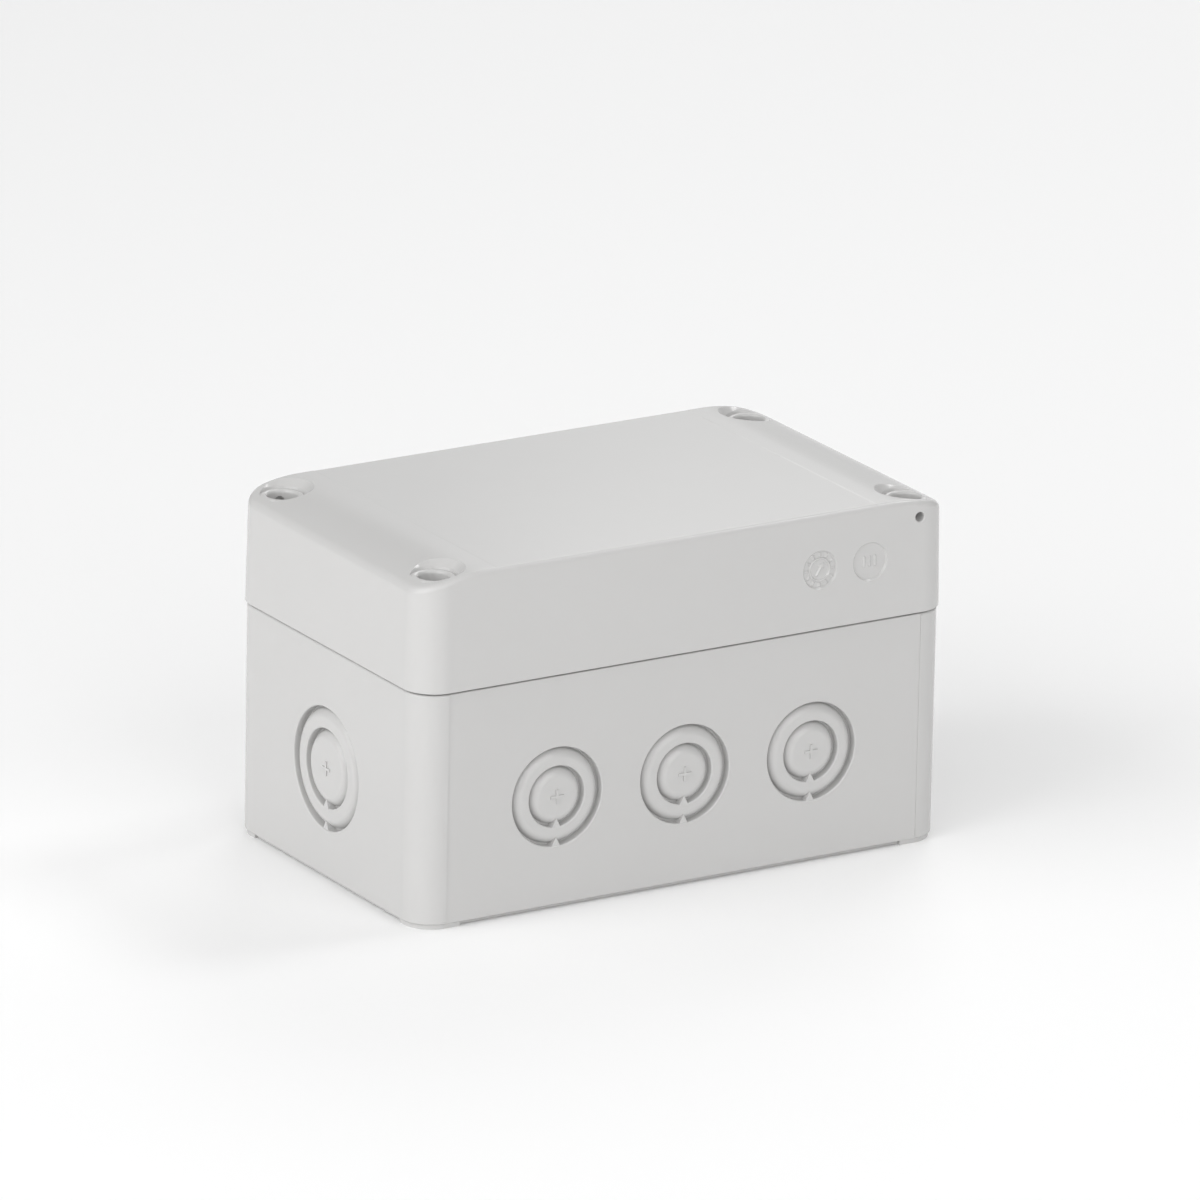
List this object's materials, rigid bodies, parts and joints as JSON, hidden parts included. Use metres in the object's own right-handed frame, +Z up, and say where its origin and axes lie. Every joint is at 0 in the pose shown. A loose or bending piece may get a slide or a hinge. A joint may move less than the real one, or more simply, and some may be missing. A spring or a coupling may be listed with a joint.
{
  "type": "electrical junction box",
  "caption": "Rectangular sealed junction box with round knockouts, a lift-off lid held by captive corner screws, and clamp terminals on a rail inside.",
  "frame": {"origin": "centre of the underside, on the plane that the four corner feet rest on", "axes": "+X along the length towards the end nearer the two round marks on the front, +Y from the front long side to the back, +Z up towards the lid"},
  "size_m": [0.125, 0.075, 0.074],
  "materials": {
    "shell": "smooth light grey polycarbonate, glossy lid and slightly satin base",
    "seal": "soft dark grey foam and rubber",
    "brass": "plain turned brass",
    "copper": "tinned copper alloy",
    "rail_steel": "zinc plated and passivated",
    "screw_steel": "plain steel",
    "cage_steel": "zinc plated",
    "terminal_grey": "matt moulded polyamide",
    "neutral_blue": "matt moulded polyamide",
    "earth_green": "matt moulded polyamide, green and yellow",
    "tag_white": "blank white tags"
  },
  "bodies": {
    "base": {"base": "shell", "threaded_inserts": "brass", "din_rail": "rail_steel", "rail_screws": "screw_steel", "end_bracket_left": "terminal_grey", "end_bracket_right": "terminal_grey", "end_bracket_screws": "screw_steel", "terminal_line": "terminal_grey", "terminal_switched": "terminal_grey", "terminal_neutral": "neutral_blue", "terminal_earth": "earth_green", "end_plate": "terminal_grey", "current_bars": "copper", "earth_foot": "copper", "marker_tags": "tag_white"},
    "lid": {"lid": "shell", "lid_gasket": "seal"},
    "ring_front_left": {"retaining_ring_front_left": "seal"},
    "screw_front_left": {"lid_screw_front_left": "screw_steel"},
    "ring_front_right": {"retaining_ring_front_right": "seal"},
    "screw_front_right": {"lid_screw_front_right": "screw_steel"},
    "ring_back_left": {"retaining_ring_back_left": "seal"},
    "screw_back_left": {"lid_screw_back_left": "screw_steel"},
    "ring_back_right": {"retaining_ring_back_right": "seal"},
    "screw_back_right": {"lid_screw_back_right": "screw_steel"},
    "clamp_screw_line_front": {"clamp_screw_line_front": "screw_steel"},
    "clamp_cage_line_front": {"clamp_cage_line_front": "cage_steel"},
    "clamp_screw_line_back": {"clamp_screw_line_back": "screw_steel"},
    "clamp_cage_line_back": {"clamp_cage_line_back": "cage_steel"},
    "clamp_screw_switched_front": {"clamp_screw_switched_front": "screw_steel"},
    "clamp_cage_switched_front": {"clamp_cage_switched_front": "cage_steel"},
    "clamp_screw_switched_back": {"clamp_screw_switched_back": "screw_steel"},
    "clamp_cage_switched_back": {"clamp_cage_switched_back": "cage_steel"},
    "clamp_screw_neutral_front": {"clamp_screw_neutral_front": "screw_steel"},
    "clamp_cage_neutral_front": {"clamp_cage_neutral_front": "cage_steel"},
    "clamp_screw_neutral_back": {"clamp_screw_neutral_back": "screw_steel"},
    "clamp_cage_neutral_back": {"clamp_cage_neutral_back": "cage_steel"},
    "clamp_screw_earth_front": {"clamp_screw_earth_front": "screw_steel"},
    "clamp_cage_earth_front": {"clamp_cage_earth_front": "cage_steel"},
    "clamp_screw_earth_back": {"clamp_screw_earth_back": "screw_steel"},
    "clamp_cage_earth_back": {"clamp_cage_earth_back": "cage_steel"}
  },
  "joints": [
    {"name": "lid_lift", "type": "slide", "parent": "base", "child": "lid", "axis": [0, 0, 1], "range_m": [0, 0.06]},
    {"name": "screw_rise_front_left", "type": "slide", "parent": "lid", "child": "ring_front_left", "axis": [0, 0, 1], "range_m": [0, 0.0056]},
    {"name": "screw_turn_front_left", "type": "hinge", "parent": "ring_front_left", "child": "screw_front_left", "pos_m": [-0.0555, -0.03, 0.0602], "axis": [0, 0, 1], "range_deg": [0, 2930]},
    {"name": "screw_rise_front_right", "type": "slide", "parent": "lid", "child": "ring_front_right", "axis": [0, 0, 1], "range_m": [0, 0.0056]},
    {"name": "screw_turn_front_right", "type": "hinge", "parent": "ring_front_right", "child": "screw_front_right", "pos_m": [0.0555, -0.03, 0.0602], "axis": [0, 0, 1], "range_deg": [0, 2930]},
    {"name": "screw_rise_back_left", "type": "slide", "parent": "lid", "child": "ring_back_left", "axis": [0, 0, 1], "range_m": [0, 0.0056]},
    {"name": "screw_turn_back_left", "type": "hinge", "parent": "ring_back_left", "child": "screw_back_left", "pos_m": [-0.0555, 0.03, 0.0602], "axis": [0, 0, 1], "range_deg": [0, 2930]},
    {"name": "screw_rise_back_right", "type": "slide", "parent": "lid", "child": "ring_back_right", "axis": [0, 0, 1], "range_m": [0, 0.0056]},
    {"name": "screw_turn_back_right", "type": "hinge", "parent": "ring_back_right", "child": "screw_back_right", "pos_m": [0.0555, 0.03, 0.0602], "axis": [0, 0, 1], "range_deg": [0, 2930]},
    {"name": "clamp_turn_line_front", "type": "hinge", "parent": "base", "child": "clamp_screw_line_front", "pos_m": [-0.00965, -0.016, 0.0384], "axis": [0, 0, -1], "range_deg": [0, 2500]},
    {"name": "clamp_close_line_front", "type": "slide", "parent": "base", "child": "clamp_cage_line_front", "axis": [0, 0, 1], "range_m": [0, 0.0034]},
    {"name": "clamp_turn_line_back", "type": "hinge", "parent": "base", "child": "clamp_screw_line_back", "pos_m": [-0.00965, 0.016, 0.0384], "axis": [0, 0, -1], "range_deg": [0, 2500]},
    {"name": "clamp_close_line_back", "type": "slide", "parent": "base", "child": "clamp_cage_line_back", "axis": [0, 0, 1], "range_m": [0, 0.0034]},
    {"name": "clamp_turn_switched_front", "type": "hinge", "parent": "base", "child": "clamp_screw_switched_front", "pos_m": [-0.00345, -0.016, 0.0384], "axis": [0, 0, -1], "range_deg": [0, 2500]},
    {"name": "clamp_close_switched_front", "type": "slide", "parent": "base", "child": "clamp_cage_switched_front", "axis": [0, 0, 1], "range_m": [0, 0.0034]},
    {"name": "clamp_turn_switched_back", "type": "hinge", "parent": "base", "child": "clamp_screw_switched_back", "pos_m": [-0.00345, 0.016, 0.0384], "axis": [0, 0, -1], "range_deg": [0, 2500]},
    {"name": "clamp_close_switched_back", "type": "slide", "parent": "base", "child": "clamp_cage_switched_back", "axis": [0, 0, 1], "range_m": [0, 0.0034]},
    {"name": "clamp_turn_neutral_front", "type": "hinge", "parent": "base", "child": "clamp_screw_neutral_front", "pos_m": [0.00275, -0.016, 0.0384], "axis": [0, 0, -1], "range_deg": [0, 2500]},
    {"name": "clamp_close_neutral_front", "type": "slide", "parent": "base", "child": "clamp_cage_neutral_front", "axis": [0, 0, 1], "range_m": [0, 0.0034]},
    {"name": "clamp_turn_neutral_back", "type": "hinge", "parent": "base", "child": "clamp_screw_neutral_back", "pos_m": [0.00275, 0.016, 0.0384], "axis": [0, 0, -1], "range_deg": [0, 2500]},
    {"name": "clamp_close_neutral_back", "type": "slide", "parent": "base", "child": "clamp_cage_neutral_back", "axis": [0, 0, 1], "range_m": [0, 0.0034]},
    {"name": "clamp_turn_earth_front", "type": "hinge", "parent": "base", "child": "clamp_screw_earth_front", "pos_m": [0.00895, -0.016, 0.0384], "axis": [0, 0, -1], "range_deg": [0, 2500]},
    {"name": "clamp_close_earth_front", "type": "slide", "parent": "base", "child": "clamp_cage_earth_front", "axis": [0, 0, 1], "range_m": [0, 0.0034]},
    {"name": "clamp_turn_earth_back", "type": "hinge", "parent": "base", "child": "clamp_screw_earth_back", "pos_m": [0.00895, 0.016, 0.0384], "axis": [0, 0, -1], "range_deg": [0, 2500]},
    {"name": "clamp_close_earth_back", "type": "slide", "parent": "base", "child": "clamp_cage_earth_back", "axis": [0, 0, 1], "range_m": [0, 0.0034]}
  ],
  "couplings": [
    {"joint": "screw_turn_front_left", "follows": "screw_rise_front_left", "rad_per_m": 8976},
    {"joint": "screw_turn_front_right", "follows": "screw_rise_front_right", "rad_per_m": 8976},
    {"joint": "screw_turn_back_left", "follows": "screw_rise_back_left", "rad_per_m": 8976},
    {"joint": "screw_turn_back_right", "follows": "screw_rise_back_right", "rad_per_m": 8976},
    {"joint": "clamp_turn_line_front", "follows": "clamp_close_line_front", "rad_per_m": 12566},
    {"joint": "clamp_turn_line_back", "follows": "clamp_close_line_back", "rad_per_m": 12566},
    {"joint": "clamp_turn_switched_front", "follows": "clamp_close_switched_front", "rad_per_m": 12566},
    {"joint": "clamp_turn_switched_back", "follows": "clamp_close_switched_back", "rad_per_m": 12566},
    {"joint": "clamp_turn_neutral_front", "follows": "clamp_close_neutral_front", "rad_per_m": 12566},
    {"joint": "clamp_turn_neutral_back", "follows": "clamp_close_neutral_back", "rad_per_m": 12566},
    {"joint": "clamp_turn_earth_front", "follows": "clamp_close_earth_front", "rad_per_m": 12566},
    {"joint": "clamp_turn_earth_back", "follows": "clamp_close_earth_back", "rad_per_m": 12566}
  ]
}
